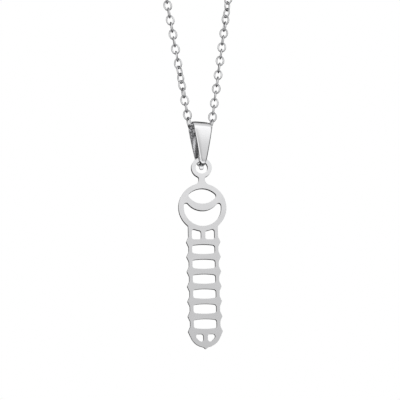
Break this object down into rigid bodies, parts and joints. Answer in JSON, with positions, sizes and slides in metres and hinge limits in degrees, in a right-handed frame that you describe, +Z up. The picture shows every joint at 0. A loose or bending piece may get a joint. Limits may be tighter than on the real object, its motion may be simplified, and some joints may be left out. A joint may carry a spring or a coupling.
{
  "type": "zodiac pendant necklace",
  "caption": "Fine steel cable-chain necklace in a closed loop, with a tapered bail that swings on the chain and a flat pierced plate with a crescent in a round and a ladder below it.",
  "frame": {"origin": "underside of the clasp at the top of the loop, where the necklace hangs on a nape or a peg", "axes": "+Z up, front towards -Y, +X to the right; the loop lies in the XZ plane, and the plate is turned 15 degrees out of it about Z, so that it faces a little towards -X"},
  "size_m": [0.063, 0.0048, 0.2483],
  "materials": {
    "chain_steel": "polished stainless steel wire",
    "clasp_steel": "tumble-polished stainless steel",
    "bail_steel": "mirror-polished stainless steel strip",
    "plate_steel": "polished stainless steel sheet with laser-cut edges"
  },
  "bodies": {
    "root": {"chain": "chain_steel", "clasp": "clasp_steel"},
    "bail": {"bail": "bail_steel"},
    "pendant": {"pendant": "plate_steel"}
  },
  "joints": [
    {"name": "bail_swing", "type": "hinge", "parent": "root", "child": "bail", "pos_m": [0, 0, -0.20211], "axis": [1, 0, 0], "range_deg": [-150, 150]},
    {"name": "pendant_swing", "type": "hinge", "parent": "bail", "child": "pendant", "pos_m": [0, 0, -0.21031], "axis": [0.2588, 0.9659, 0], "range_deg": [-100, 100]}
  ]
}
